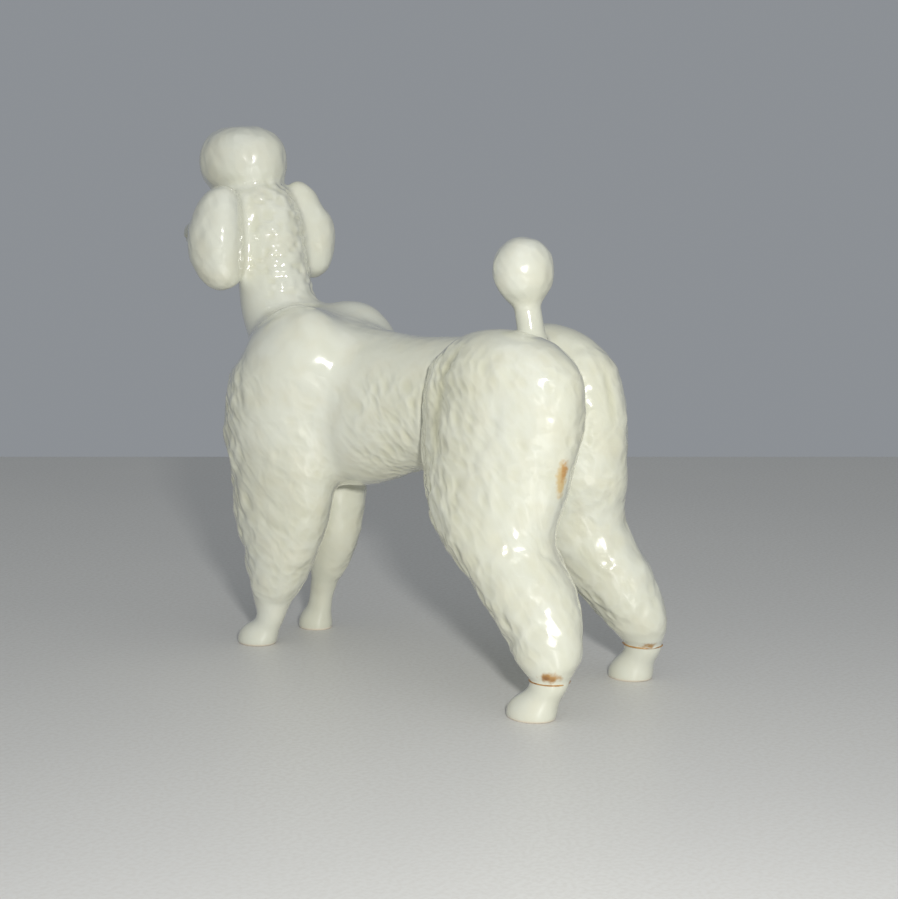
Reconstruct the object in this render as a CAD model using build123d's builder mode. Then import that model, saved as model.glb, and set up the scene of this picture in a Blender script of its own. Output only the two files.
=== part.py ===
"""A glazed ceramic poodle figurine, standing, with its head turned a little to its right.

Millimetres. +Z is up, the dog faces -Y and its left side is +X. The origin lies on the
table, under the middle of the whole figure. The figure is slip-cast in hollow pieces that
meet face to face where the potter luted them together before firing. Both hind paws broke
off at the ankle at some time, and an old film of glue holds each one on.
"""

import os
from math import cos, radians, sin, sqrt

from build123d import *

# ---------------------------------------------------------------- driving dimensions
WHEELBASE = 97.0          # from the fore paws to the hind paws
FORE_PAW_Y = -31.2        # middle of the fore paws
HIND_PAW_Y = FORE_PAW_Y + WHEELBASE
FORE_PAW_X = 11.2         # half the distance between the fore paws
HIND_PAW_X = 22.1         # half the distance between the splayed hind paws

WALL = 3.0                # thickness of the cast wall
THIN = 2.2 * WALL         # a limb is hollow only where its half-width is more than this
VENT_RADIUS = 1.6         # hole in the belly that lets air out in the kiln
VENT_Y = 6.0
VENT_DEPTH = 60.0         # the vent is bored this far up from the table, into the hollow
AIR_RADIUS = 1.9          # holes pierced through the walls between one hollow and the next
AIR_REACH = 18.0          # the holes into the legs end this far out from the middle

ANKLE_Z = 9.5             # height of the break in each hind leg
GLUE = 0.35               # thickness of the film of glue in each break
GLUE_BEAD = 0.25          # how far the glue stands out round the break

HEAD_TURN = 14.0          # degrees that the head is turned to the dog's right
TOPKNOT = Vector(-2.5, -47.3, 127.5)
TOPKNOT_RADII = (11.2, 13.1, 9.6)     # sideways, forwards, upwards
SKULL_RADII = (9.5, 12.5, 9.0)
SKULL_Z = 115.5
SKULL_SET_BACK = 2.0      # middle of the skull, behind the middle of the topknot
MUZZLE_ROOT = 2.0         # root of the muzzle, ahead of the middle of the topknot
MUZZLE_REACH = 29.0       # tip of the nose, ahead of the middle of the topknot
MUZZLE_ROOT_Z = 113.0
MUZZLE_TIP_Z = 106.7
EAR_SET_BACK = 9.0        # middle of the ears, behind the middle of the topknot
EAR_SPREAD = 14.7         # from the middle of the head to the middle of each ear

NECK_BASE = Vector(0, -25.1, 68.0)
NECK_TOP = Vector(-1.0, -39.2, 119.0)

POMPOM = Vector(0, 46.7, 101.6)
POMPOM_RADII = (7.5, 7.5, 8.2)

# Ovals along the torso: place along Y, height of the middle, half-width, half-height.
TORSO = (
    (-37.7, 64.0, 0, 0),
    (-33.7, 64.5, 9.0, 13.5),
    (-25.7, 65.0, 12.5, 21.0),
    (-15.7, 65.6, 14.0, 22.1),
    (-1.7, 65.1, 14.5, 20.6),
    (17.3, 67.2, 13.6, 17.1),
    (32.3, 68.5, 13.0, 16.4),
    (50.3, 69.0, 11.0, 14.0),
    (61.3, 67.0, 0, 0),
)

# Ovals up a limb: height, distance out from the middle, distance behind the paw,
# half-width, half-depth. The woolly top is common to both forelegs, and the shin to both
# hind legs.
SHOULDER = (
    (59.0, 10.5, 8.2, 11.5, 17.5),
    (72.0, 11.0, 10.4, 11.5, 16.9),
    (82.0, 10.8, 14.2, 9.4, 13.1),
    (90.8, 10.1, 16.1, 0, 0),
)
LEFT_FORELEG = (
    (0, 10.8, 1.2, 3.2, 3.8),
    (4.5, 10.6, 2.9, 3.4, 4.0),
    (8.5, 10.4, 3.7, 3.5, 4.2),
    (15.8, 9.8, 5.1, 6.1, 7.3),
    (26.0, 9.5, 6.4, 8.0, 11.4),
    (36.0, 9.4, 7.1, 9.1, 15.0),
    (47.0, 9.8, 8.1, 10.2, 16.5),
) + SHOULDER
RIGHT_FORELEG = (
    (0, 10.7, 1.6, 2.8, 3.3),
    (4.5, 10.5, 2.2, 3.0, 3.5),
    (9.7, 10.3, 3.3, 2.9, 3.5),
    (13.3, 10.0, 4.5, 3.3, 3.9),
    (19.0, 9.8, 6.6, 4.8, 6.0),
    (26.0, 9.5, 7.4, 6.6, 8.7),
    (36.0, 9.4, 5.9, 8.4, 12.1),
    (42.0, 9.5, 5.6, 9.3, 13.2),
    (48.0, 9.8, 7.2, 10.1, 15.4),
) + SHOULDER
SHIN = (
    (ANKLE_Z, 20.4, 3.3, 4.2, 4.9),
    (11.3, 20.0, 2.8, 5.2, 6.2),
    (14.0, 19.4, 1.9, 6.6, 8.2),
    (20.0, 18.0, -0.6, 8.2, 10.4),
    (28.0, 16.6, -6.2, 9.5, 13.2),
)
LEFT_HIND_LEG = SHIN + (
    (40.0, 14.5, -16.6, 11.0, 16.0),
    (52.0, 11.8, -18.6, 12.3, 19.8),
    (67.0, 9.9, -18.1, 12.6, 22.0),
    (78.0, 9.8, -17.5, 11.8, 20.9),
    (84.5, 9.8, -17.4, 8.9, 14.4),
    (88.5, 9.9, -18.4, 0, 0),
)
RIGHT_HIND_LEG = SHIN + (
    (40.0, 14.5, -16.0, 11.0, 16.4),
    (52.0, 11.8, -18.0, 12.3, 20.4),
    (67.0, 9.9, -18.5, 12.6, 21.6),
    (78.0, 9.8, -18.9, 11.4, 19.4),
    (84.5, 9.8, -18.9, 8.0, 12.6),
    (88.5, 9.9, -18.8, 0, 0),
)
HIND_ANKLE = (
    (0, 21.3, -1.2, 3.2, 3.8),
    (4.5, 20.9, 1.4, 3.8, 4.5),
    (ANKLE_Z - GLUE, 20.4, 3.3, 4.2, 4.9),
)

# Ovals up an ear: height, distance out from its middle, distance back from its middle,
# half-thickness, half-depth. The right ear hangs a little higher than the left.
LEFT_EAR = (
    (94.0, -0.4, 2.2, 0, 0),
    (98.0, -0.2, 1.0, 5.2, 7.0),
    (102.0, 0, 0.3, 6.3, 8.2),
    (106.0, 0, 0, 6.6, 8.6),
    (111.5, -0.2, 0, 6.2, 8.2),
    (116.0, -1.0, 0, 5.0, 6.4),
    (120.0, -2.2, 0.5, 3.2, 3.8),
    (122.5, -3.0, 0.8, 0, 0),
)
RIGHT_EAR = (
    (96.4, -0.4, 2.2, 0, 0),
    (100.4, -0.2, 1.0, 5.2, 7.0),
    (104.4, 0, 0.3, 6.3, 8.2),
    (108.0, 0, 0, 6.6, 8.6),
    (112.5, -0.4, 0, 6.0, 8.0),
    (116.5, -1.6, 0, 4.6, 6.0),
    (119.8, -3.2, 0.5, 2.9, 3.6),
    (121.8, -4.4, 0.8, 0, 0),
)

# Ovals along the neck: distance from its base, half-width, half-depth.
NECK = (
    (0, 12.6, 14.0),
    (12.0, 10.4, 11.6),
    (24.0, 8.8, 10.0),
    (36.0, 8.2, 9.2),
    (44.0, 8.1, 9.1),
    (50.0, 7.0, 7.8),
    (55.5, 0, 0),
)

# Ovals along the muzzle: distance from its root, half-width, half-height.
MUZZLE = (
    (0, 7.3, 7.5),
    (9.0, 5.4, 5.6),
    (18.0, 4.2, 4.3),
    (24.5, 3.5, 3.6),
    (27.5, 0, 0),
)

# Ovals up the tail: height, place along Y, half-width.
TAIL = (
    (75.0, 51.3, 5.2),
    (83.0, 49.9, 4.0),
    (89.0, 48.7, 3.3),
    (93.0, 47.9, 3.3),
    (98.0, 46.9, 3.6),
)

# Places (Y, Z) of the air holes between the torso and the hollow legs.
LEG_AIR = (
    (FORE_PAW_Y + 9.2, 56.0),
    (HIND_PAW_Y - 19.0, 65.0),
)

PAW_WIDTH = 4.6           # half-width of every paw
LEFT_FORE_TOE = 6.2       # half-lengths of the paws
RIGHT_FORE_TOE = 4.8
LEFT_HIND_TOE = 6.6
RIGHT_HIND_TOE = 5.6
RIGHT_FORE_LAG = 0.6      # the right fore paw stands this far behind the left one
HIND_TOE_LEAD = 0.6       # middle of the hind toes, ahead of the line of the hind paws
PAW_HEIGHT = 4.4          # half-height of the ball that the paw is cut from
PAW_MIDDLE_Z = 1.1        # height of that ball's middle

EGG_SHOULDER = 0.8        # size of an egg's upper and lower ovals, as a share of the middle one
DOME_STEPS = (0.6, 0.96)   # places of the ovals that round off an end

# ---------------------------------------------------------------- how forms are made


def domed(stations):
    """Replace an end whose last two sizes are 0 with ovals that round it off."""
    ovals = [station for station in stations if station[-1] > 0]
    for tip, last, place in ((stations[0], ovals[0], 0), (stations[-1], ovals[-1], None)):
        if tip[-1] > 0:
            continue
        for step in DOME_STEPS:
            middle = [a + (b - a) * step for a, b in zip(last[:-2], tip[:-2])]
            sizes = [size * sqrt(1 - step) for size in last[-2:]]
            ovals.insert(len(ovals) if place is None else place, (*middle, *sizes))
    return ovals


def grown(stations, by):
    """The same ovals made larger all round, or smaller where by is negative."""
    return [(*s[:-2], s[-2] + by, s[-1] + by) if s[-1] > 0 else s for s in stations]


def inside(stations):
    """The ovals of the hollow that the cast wall leaves in a form, with both ends closed."""
    hollow = grown([s for s in stations if min(s[-2:]) > THIN], -WALL)
    low = max(hollow[0][0] - WALL, stations[0][0] + WALL)
    high = min(hollow[-1][0] + WALL, stations[-1][0] - WALL)
    return [(low, *hollow[0][1:-2], 0, 0), *hollow, (high, *hollow[-1][1:-2], 0, 0)]


def skin(sections):
    """One smooth solid through (plane, half-width, half-depth) ovals."""
    with BuildPart() as form:
        for plane, half_width, half_depth in sections:
            with BuildSketch(plane):
                Ellipse(half_width, half_depth)
        loft()
    return form.part


def trunk(stations):
    """Upright ovals along the torso."""
    return skin(
        (Plane((0, along, height), x_dir=(1, 0, 0), z_dir=(0, 1, 0)), wide, tall)
        for along, height, wide, tall in stations
    )


def limb(stations, paw_y, side):
    """Level ovals up a leg on the given side, +1 for left and -1 for right."""
    return skin(
        (Plane((side * out, paw_y + back, height)), wide, deep)
        for height, out, back, wide, deep in stations
    )


def tube(plane, stations):
    """Ovals along the normal of a plane."""
    return skin((plane.offset(along), wide, deep) for along, wide, deep in stations)


def ball(plane, radii):
    """A sphere stretched to three radii along the plane's axes."""
    with BuildPart() as form:
        Sphere(1)
        scale(by=tuple(radii))
    return plane.location * form.part


def egg(plane, radii):
    """Ovals that rise and fall along the normal of a plane, as a hollow skull does."""
    wide, deep, tall = radii
    shoulder = (EGG_SHOULDER * wide, EGG_SHOULDER * deep)
    level = tall * sqrt(1 - EGG_SHOULDER**2)
    return tube(
        plane,
        domed([(-tall, 0, 0), (-level, *shoulder), (0, wide, deep), (level, *shoulder), (tall, 0, 0)]),
    )


def outward(side, distance=0):
    """The upright plane this far out from the middle, facing away from the middle."""
    middle = Plane.YZ if side > 0 else -Plane.YZ
    return middle.offset(distance)


def rod(plane, length):
    """An air hole's core, from a plane along its normal."""
    with BuildPart() as form:
        with BuildSketch(plane):
            Circle(AIR_RADIUS)
        extrude(amount=length)
    return form.part


def toe(x, y, half_length):
    """The slipper-like toe of a paw, flat on the table."""
    rounded = ball(Plane((x, y, PAW_MIDDLE_Z)), (PAW_WIDTH, half_length, PAW_HEIGHT))
    with BuildPart() as form:
        add(rounded)
        split(bisect_by=Plane.XY, keep=Keep.TOP)
    return form.part


# ---------------------------------------------------------------- forms that overlap

facing = Vector(-sin(radians(HEAD_TURN)), -cos(radians(HEAD_TURN)), 0)
leftward = Vector(cos(radians(HEAD_TURN)), -sin(radians(HEAD_TURN)), 0)
head_axis = Vector(TOPKNOT.X, TOPKNOT.Y, 0)

torso_form = trunk(domed(TORSO))
near_torso = trunk(domed(grown(TORSO, WALL)))

skull_centre = head_axis - facing * SKULL_SET_BACK + Vector(0, 0, SKULL_Z)
skull_plane = Plane(skull_centre, x_dir=leftward, z_dir=(0, 0, 1))
skull_form = egg(skull_plane, SKULL_RADII)
near_skull = egg(skull_plane, [radius + WALL for radius in SKULL_RADII])

muzzle_root = head_axis + facing * MUZZLE_ROOT + Vector(0, 0, MUZZLE_ROOT_Z)
muzzle_tip = head_axis + facing * MUZZLE_REACH + Vector(0, 0, MUZZLE_TIP_Z)
muzzle_plane = Plane(muzzle_root, x_dir=leftward, z_dir=muzzle_tip - muzzle_root)
with BuildPart() as head_shape:
    add([skull_form, tube(muzzle_plane, domed(MUZZLE))])
head_form = head_shape.part

topknot_form = ball(Plane(TOPKNOT, x_dir=leftward, z_dir=(0, 0, 1)), TOPKNOT_RADII)
pompom_form = ball(Plane(POMPOM), POMPOM_RADII)

neck_plane = Plane(NECK_BASE, x_dir=(1, 0, 0), z_dir=NECK_TOP - NECK_BASE)
neck_form = tube(neck_plane, domed(NECK))

leg_air = [
    rod(outward(side).shift_origin((0, y, z)), AIR_REACH) for y, z in LEG_AIR for side in (1, -1)
]
neck_air = rod(neck_plane, (NECK_TOP - NECK_BASE).length)

# ---------------------------------------------------------------- head

with BuildPart() as head:
    add(head_form)
    add(egg(skull_plane, [radius - WALL for radius in SKULL_RADII]), mode=Mode.SUBTRACT)
    add(neck_air, mode=Mode.SUBTRACT)

# ---------------------------------------------------------------- torso

with BuildPart() as torso:
    add(torso_form)
    add(trunk(domed(inside(TORSO))), mode=Mode.SUBTRACT)
    with BuildSketch(Plane.XY):
        with Locations((0, VENT_Y)):
            Circle(VENT_RADIUS)
    extrude(amount=VENT_DEPTH, mode=Mode.SUBTRACT)
    add([*leg_air, neck_air], mode=Mode.SUBTRACT)

# ---------------------------------------------------------------- neck, topknot and ears

with BuildPart() as neck_hollow:
    add(tube(neck_plane, domed(inside(NECK))))
    add([near_torso, near_skull], mode=Mode.SUBTRACT)

with BuildPart() as neck:
    add(neck_form)
    add([torso_form, skull_form, neck_hollow.part, neck_air], mode=Mode.SUBTRACT)

with BuildPart() as topknot:
    add(topknot_form)
    add([head_form, neck_form], mode=Mode.SUBTRACT)

pieces = {
    "torso": torso.part,
    "neck": neck.part,
    "head": head.part,
    "topknot": topknot.part,
}

for side, name, stations in ((1, "left_ear", LEFT_EAR), (-1, "right_ear", RIGHT_EAR)):
    outside = leftward * side
    root = head_axis - facing * EAR_SET_BACK + outside * EAR_SPREAD
    ear_form = skin(
        (Plane(root + outside * out - facing * back + Vector(0, 0, height), x_dir=leftward), thick, deep)
        for height, out, back, thick, deep in domed(stations)
    )
    with BuildPart() as ear:
        add(ear_form)
        add([head_form, neck_form, topknot_form], mode=Mode.SUBTRACT)
    pieces[name] = ear.part

# ---------------------------------------------------------------- legs


def leg(stations, paw_y, side, *joined):
    """A hollow leg, cut off flat at the middle plane and fitted to the torso."""
    with BuildPart() as hollow:
        add(limb(domed(inside(stations)), paw_y, side))
        split(bisect_by=outward(side, WALL), keep=Keep.TOP)
        add(near_torso, mode=Mode.SUBTRACT)
    with BuildPart() as form:
        add([limb(domed(stations), paw_y, side), *joined])
        split(bisect_by=outward(side), keep=Keep.TOP)
        add([torso_form, hollow.part, *leg_air], mode=Mode.SUBTRACT)
    return form.part


for side, name, stations, lag, toe_length in (
    (1, "left_foreleg", LEFT_FORELEG, 0, LEFT_FORE_TOE),
    (-1, "right_foreleg", RIGHT_FORELEG, RIGHT_FORE_LAG, RIGHT_FORE_TOE),
):
    fore_toe = toe(side * FORE_PAW_X, FORE_PAW_Y + lag, toe_length)
    with BuildPart() as foreleg:
        add(leg(stations, FORE_PAW_Y, side, fore_toe))
        add(neck_form, mode=Mode.SUBTRACT)
    pieces[name] = foreleg.part

for side, name, stations, toe_length in (
    (1, "left_hind", LEFT_HIND_LEG, LEFT_HIND_TOE),
    (-1, "right_hind", RIGHT_HIND_LEG, RIGHT_HIND_TOE),
):
    with BuildPart() as hind_leg:
        add(leg(stations, HIND_PAW_Y, side))
    pieces[name + "_leg"] = hind_leg.part

    with BuildPart() as hind_paw:
        add(toe(side * HIND_PAW_X, HIND_PAW_Y - HIND_TOE_LEAD, toe_length))
        add(limb(HIND_ANKLE, HIND_PAW_Y, side))
        split(bisect_by=Plane.XY.offset(ANKLE_Z - GLUE), keep=Keep.BOTTOM)
    pieces[name + "_paw"] = hind_paw.part

    height, out, back, wide, deep = stations[0]
    with BuildPart() as glue:
        with BuildSketch(Plane((side * out, HIND_PAW_Y + back, height - GLUE))):
            Ellipse(wide + GLUE_BEAD, deep + GLUE_BEAD)
        extrude(amount=GLUE)
    pieces[name + "_glue"] = glue.part

# ---------------------------------------------------------------- tail

hind_legs = [pieces["left_hind_leg"], pieces["right_hind_leg"]]
with BuildPart() as tail_stem:
    add(skin((Plane((0, along, height)), wide, wide) for height, along, wide in TAIL))
    add([torso_form, *hind_legs, pompom_form], mode=Mode.SUBTRACT)
pieces["tail_stem"] = tail_stem.part

with BuildPart() as tail_pompom:
    add(pompom_form)
pieces["tail_pompom"] = tail_pompom.part

# ---------------------------------------------------------------- written pieces

os.makedirs("parts", exist_ok=True)
for name, piece in pieces.items():
    piece.label = name
    export_step(piece, "parts/" + name + ".step")
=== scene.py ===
"""Looks for the glazed ceramic poodle: one skin sculpted over the CAD pieces, then split into them.

The skin is a distance field in millimetres, in the CAD frame: +Z up, the dog faces -Y and its
left side is +X. The field is meshed, refined, given its modelled wool as real relief, and cut
along the seams between the CAD pieces. Neighbours share their seam points and normals, so the
glaze runs over the seams unbroken, as it does on the real casting.
"""

import math

import bpy
import numpy as np
import openvdb
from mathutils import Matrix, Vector


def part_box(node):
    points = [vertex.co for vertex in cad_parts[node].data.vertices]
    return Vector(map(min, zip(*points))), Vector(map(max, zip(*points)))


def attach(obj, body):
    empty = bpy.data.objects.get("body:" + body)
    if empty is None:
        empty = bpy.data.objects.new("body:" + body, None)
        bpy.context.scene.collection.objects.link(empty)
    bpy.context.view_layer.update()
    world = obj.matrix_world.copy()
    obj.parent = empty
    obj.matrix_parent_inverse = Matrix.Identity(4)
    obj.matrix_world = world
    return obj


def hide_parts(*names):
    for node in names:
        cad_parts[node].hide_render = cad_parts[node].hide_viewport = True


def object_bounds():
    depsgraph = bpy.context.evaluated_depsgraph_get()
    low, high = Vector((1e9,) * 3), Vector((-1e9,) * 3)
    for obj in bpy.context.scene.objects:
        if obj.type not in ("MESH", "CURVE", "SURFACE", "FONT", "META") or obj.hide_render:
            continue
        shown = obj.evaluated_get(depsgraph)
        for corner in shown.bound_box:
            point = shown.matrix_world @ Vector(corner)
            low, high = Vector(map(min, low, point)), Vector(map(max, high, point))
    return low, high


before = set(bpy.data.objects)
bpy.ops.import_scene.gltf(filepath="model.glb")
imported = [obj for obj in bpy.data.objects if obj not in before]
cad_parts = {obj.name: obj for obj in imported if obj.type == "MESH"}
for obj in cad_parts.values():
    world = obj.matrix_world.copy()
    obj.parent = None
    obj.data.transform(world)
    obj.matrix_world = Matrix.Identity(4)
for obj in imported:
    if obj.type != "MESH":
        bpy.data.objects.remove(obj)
cad_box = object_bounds()

MM = 0.001
UP = np.array([0.0, 0.0, 1.0])
SIDEWAYS = np.array([1.0, 0.0, 0.0])
BACKWARDS = np.array([0.0, 1.0, 0.0])

FINE = 0.62    # edge of the sculpting grid's cells, mm; faces are half of it
REACH = 7.5                           # a form counts only this near to its box, so fillets stay under it
FAR = 30.0                            # distance that stands for "out of reach", mm


# ---------------------------------------------------------------- places taken from the CAD


def cad(node):
    """Middle and half-size of a CAD node, mm."""
    low, high = (np.array(corner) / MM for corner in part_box(node))
    return (low + high) / 2, (high - low) / 2


WHEELBASE = 97.0
HIND_Y = 65.8                         # middle of the line of the hind paws
FORE_Y = HIND_Y - WHEELBASE
ANKLE_Z = 9.5                         # height of the breaks in the hind legs
GLUE = 0.35                           # thickness of the glue film in a break
HEAD_TURN = math.radians(14)          # the head looks a little to the dog's right

left_hind_toe, left_hind_toe_size = cad("left_hind_paw")
right_hind_toe, right_hind_toe_size = cad("right_hind_paw")
pompom_middle, pompom_size = cad("tail_pompom")
topknot_middle = cad("topknot")[0]

facing = np.array([-math.sin(HEAD_TURN), -math.cos(HEAD_TURN), 0.0])
leftward = np.array([math.cos(HEAD_TURN), -math.sin(HEAD_TURN), 0.0])
head_axis = np.array([topknot_middle[0], topknot_middle[1], 0.0])


def head_point(ahead, left, height):
    """A point placed from the upright line through the middle of the topknot."""
    return head_axis + facing * ahead + leftward * left + UP * height


# ---------------------------------------------------------------- forms


class Curve:
    """A smooth curve through values at given places, with no overshoot where steady is true."""

    def __init__(self, places, values, steady=True):
        self.places = np.asarray(places, float)
        self.values = np.asarray(values, float)
        gaps = np.diff(self.places)
        slopes = np.diff(self.values) / gaps
        tangents = np.zeros(len(self.places))
        for i in range(1, len(tangents) - 1):
            before, after = slopes[i - 1], slopes[i]
            if not steady:
                tangents[i] = (before * gaps[i] + after * gaps[i - 1]) / (gaps[i] + gaps[i - 1])
            elif before * after > 0:
                w1, w2 = 2 * gaps[i] + gaps[i - 1], gaps[i] + 2 * gaps[i - 1]
                tangents[i] = (w1 + w2) / (w1 / before + w2 / after)
        tangents[0] = 1.5 * slopes[0] - 0.5 * tangents[1]
        tangents[-1] = 1.5 * slopes[-1] - 0.5 * tangents[-2]
        self.tangents = tangents

    def __call__(self, t):
        """Value and slope at t."""
        i = np.clip(np.searchsorted(self.places, t, side="right") - 1, 0, len(self.places) - 2)
        gap = self.places[i + 1] - self.places[i]
        u = (t - self.places[i]) / gap
        a, b = self.values[i], self.values[i + 1]
        ta, tb = self.tangents[i] * gap, self.tangents[i + 1] * gap
        value = (2 * u**3 - 3 * u**2 + 1) * a + (u**3 - 2 * u**2 + u) * ta
        value += (3 * u**2 - 2 * u**3) * b + (u**3 - u**2) * tb
        slope = (6 * u**2 - 6 * u) * (a - b) + (3 * u**2 - 4 * u + 1) * ta + (3 * u**2 - 2 * u) * tb
        return value, slope / gap


def unit(v):
    v = np.asarray(v, float)
    return v / np.linalg.norm(v)


POINTED = 1e-3    # an end with less area than this, mm2, is a rounded tip and not a flat face


class Loft:
    """Ovals strung along an axis: (place, shift across, shift other way, half-width, half-depth)."""

    def __init__(self, origin, axis, across, stations):
        self.origin = np.asarray(origin, float)
        self.axis = unit(axis)
        self.across = unit(across - self.axis * (across @ self.axis))
        self.other = np.cross(self.axis, self.across)
        place, shift_a, shift_b, wide, deep = np.array(stations, float).T
        ratio = np.where(wide > 0, deep / np.maximum(wide, 1e-6), 0)
        ratio[0] = ratio[0] or ratio[1]
        ratio[-1] = ratio[-1] or ratio[-2]
        self.shift_a = Curve(place, shift_a, False)
        self.shift_b = Curve(place, shift_b, False)
        self.area = Curve(place, wide * deep)
        self.ratio = Curve(place, ratio)
        self.start, self.end = place[0], place[-1]
        middles = self.origin + np.outer(place, self.axis)
        middles += np.outer(shift_a, self.across) + np.outer(shift_b, self.other)
        reach = np.maximum(wide, deep)[:, None] + REACH
        self.low, self.high = (middles - reach).min(0), (middles + reach).max(0)

    def locate(self, points):
        """Place along the axis, and the two distances from the oval's middle."""
        q = points - self.origin
        along = q @ self.axis
        held = np.clip(along, self.start, self.end)
        return along, q @ self.across - self.shift_a(held)[0], q @ self.other - self.shift_b(held)[0]

    def turn(self, points):
        """Angle round the ovals, in radians, from the across direction towards the other."""
        along, a, b = self.locate(points)
        ratio = self.ratio(np.clip(along, self.start, self.end))[0]
        return np.arctan2(b / ratio, a)

    def __call__(self, points):
        q = points - self.origin
        along, a, b = q @ self.axis, q @ self.across, q @ self.other
        held = np.clip(along, self.start, self.end)
        (ca, dca), (cb, dcb) = self.shift_a(held), self.shift_b(held)
        (area, darea), (ratio, dratio) = self.area(held), self.ratio(held)
        area = np.maximum(area, 1e-6)
        a, b = a - ca, b - cb
        slope_a, slope_b = 2 * a * ratio, 2 * b / ratio
        slope_t = a * a * dratio - b * b * dratio / ratio**2 - darea - slope_a * dca - slope_b * dcb
        beyond = along - held
        flat_end = (beyond != 0) & (area > POINTED)
        slope_t = np.where(flat_end, 0, slope_t)
        level = a * a * ratio + b * b / ratio - area + slope_t * beyond
        distance = level / (np.sqrt(slope_a**2 + slope_b**2 + slope_t**2) + 1e-6)
        distance = np.maximum(distance, -np.sqrt(np.minimum(area * ratio, area / ratio)))
        return np.where(flat_end, np.hypot(np.maximum(distance, 0), beyond), distance)


class Egg:
    """An egg with radii sideways, the other way and upwards, boxier where power is over 2."""

    def __init__(self, middle, radii, sideways=SIDEWAYS, power=2.0):
        self.power = power
        self.middle = np.asarray(middle, float)
        self.radii = np.asarray(radii, float)
        self.axes = np.array([sideways, np.cross(UP, sideways), UP])
        reach = self.radii.max() + REACH
        self.low, self.high = self.middle - reach, self.middle + reach

    def __call__(self, points):
        q = (points - self.middle) @ self.axes.T
        flat = np.hypot(q[:, 0] / self.radii[0], q[:, 1] / self.radii[1])
        level = (flat**self.power + np.abs(q[:, 2] / self.radii[2]) ** self.power) ** (1 / self.power)
        k1 = np.linalg.norm(q / self.radii**2, axis=-1) + 1e-9
        k0 = np.linalg.norm(q / self.radii, axis=-1)
        return np.maximum(k0 * (level - 1) / k1, -self.radii.min())


def join(a, b, blend):
    """Union of two distances, with a fillet where they meet."""
    h = np.maximum(blend - np.abs(a - b), 0) / blend
    return np.minimum(a, b) - h * h * blend / 4


def meet(a, b, blend):
    """What lies inside both, with a rounded edge."""
    return -join(-a, -b, blend)


# Ovals along the torso: place along Y, height, half-width, half-height.
TORSO = (
    (-37.7, 64.0, 0, 0),
    (-33.7, 64.5, 9.0, 13.5),
    (-25.7, 65.0, 12.5, 21.0),
    (-15.7, 65.6, 14.0, 22.1),
    (-1.7, 65.1, 14.5, 20.6),
    (17.3, 67.2, 13.6, 17.1),
    (32.3, 68.5, 13.0, 16.4),
    (50.3, 69.0, 11.0, 14.0),
    (61.3, 67.0, 0, 0),
)

# Ovals up a limb: height, distance out, distance behind the paw, half-width, half-depth.
SHOULDER = (
    (59.0, 10.5, 8.2, 11.5, 17.5),
    (72.0, 11.0, 10.4, 11.5, 16.9),
    (77.0, 10.9, 13.0, 10.9, 15.1),
    (82.5, 10.6, 14.4, 9.3, 13.0),
    (90.8, 10.1, 16.1, 0, 0),
)
LEFT_FORELEG = (
    (0, 10.8, -0.8, 2.7, 3.2),
    (4.5, 10.6, 2.2, 3.2, 3.8),
    (8.5, 10.4, 3.7, 3.5, 4.2),
    (11.3, 10.0, 3.8, 4.3, 5.2),
    (15.8, 9.8, 5.1, 6.1, 7.3),
    (26.0, 9.5, 6.4, 8.0, 11.4),
    (36.0, 9.4, 7.1, 9.1, 15.0),
    (47.0, 9.8, 8.1, 10.2, 16.5),
) + SHOULDER
RIGHT_FORELEG = (
    (0, 10.7, 1.6, 2.8, 3.3),
    (4.5, 10.5, 2.2, 3.0, 3.5),
    (9.7, 10.3, 3.3, 2.9, 3.5),
    (13.3, 10.0, 4.5, 3.3, 3.9),
    (19.0, 9.8, 6.6, 4.8, 6.0),
    (26.0, 9.5, 7.4, 6.6, 8.7),
    (36.0, 9.4, 5.9, 8.4, 12.1),
    (42.0, 9.5, 5.6, 9.3, 13.2),
    (48.0, 9.8, 7.2, 10.1, 15.4),
) + SHOULDER
SHIN = (
    (0, 21.3, -1.2, 3.2, 3.8),
    (4.5, 20.9, 1.4, 3.8, 4.5),
    (9.5, 20.4, 3.3, 4.2, 4.9),
    (11.3, 20.0, 2.8, 5.2, 6.2),
    (14.0, 19.4, 1.9, 6.6, 8.2),
    (20.0, 18.0, -0.6, 8.2, 10.4),
    (28.0, 16.6, -6.2, 9.5, 13.2),
)
LEFT_HIND_LEG = SHIN + (
    (40.0, 14.5, -16.6, 11.0, 16.0),
    (52.0, 11.8, -18.6, 12.3, 19.8),
    (67.0, 9.9, -18.1, 12.6, 22.0),
    (78.0, 9.8, -17.5, 11.8, 20.9),
    (84.5, 9.8, -17.4, 8.9, 14.4),
    (88.5, 9.9, -18.4, 0, 0),
)
RIGHT_HIND_LEG = SHIN + (
    (40.0, 14.5, -16.0, 11.0, 16.4),
    (52.0, 11.8, -18.0, 12.3, 20.4),
    (67.0, 9.9, -18.5, 12.6, 21.6),
    (78.0, 9.8, -18.9, 11.4, 19.4),
    (84.5, 9.8, -18.9, 8.0, 12.6),
    (88.5, 9.9, -18.8, 0, 0),
)

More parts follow.
